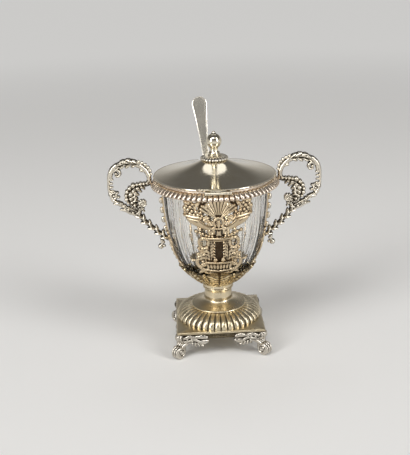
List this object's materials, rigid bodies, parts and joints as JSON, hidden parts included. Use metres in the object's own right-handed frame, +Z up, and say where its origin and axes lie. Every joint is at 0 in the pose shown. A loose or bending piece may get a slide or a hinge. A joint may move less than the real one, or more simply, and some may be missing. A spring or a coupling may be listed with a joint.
{
  "type": "mustard pot",
  "caption": "Footed silver mustard pot with an openwork basket round a glass liner, loop handles, a hinged lid with a knob, and a spoon standing in the lid's notch.",
  "frame": {"origin": "on the floor under the middle of the pot's box, which is the pot's axis", "axes": "+Z up along the pot's axis; -Y towards the hinge side that faces the viewer; +X towards the right handle"},
  "size_m": [0.1198, 0.0737, 0.1377],
  "materials": {
    "cast_silver": "polished, with darkened recesses",
    "spun_silver": "polished, lightly tarnished",
    "polished_silver": "bright polish",
    "fittings": "dull",
    "glass": "clear, cut in flutes"
  },
  "bodies": {
    "stand": {"foot_front_left": "cast_silver", "foot_front_right": "cast_silver", "foot_back_left": "cast_silver", "foot_back_right": "cast_silver", "plinth_band": "spun_silver", "plinth_plate": "spun_silver", "dome": "spun_silver", "stem": "spun_silver", "calyx": "cast_silver", "tie_bolt": "fittings", "tie_washer": "fittings", "tie_nut": "fittings", "glass_liner": "glass", "front_panel": "cast_silver", "back_panel": "cast_silver", "left_strap": "cast_silver", "right_strap": "cast_silver", "rim_ring": "spun_silver", "gadroon_border": "cast_silver", "left_handle": "cast_silver", "right_handle": "cast_silver", "rim_hinge": "polished_silver", "hinge_pin": "fittings"},
    "lid": {"lid_hinge": "polished_silver", "lid": "polished_silver", "lid_bezel": "polished_silver", "finial_collar": "cast_silver", "finial_knob": "polished_silver", "finial_nut": "fittings"},
    "spoon": {"spoon": "polished_silver"}
  },
  "joints": [
    {"name": "lid_hinge_turn", "type": "hinge", "parent": "stand", "child": "lid", "pos_m": [0, -0.0356, 0.09945], "axis": [1, 0, 0], "range_deg": [0, 105]},
    {"name": "spoon_lift", "type": "slide", "parent": "stand", "child": "spoon", "axis": [-0.084, 0.3256, 0.9418], "range_m": [0, 0.025]}
  ]
}
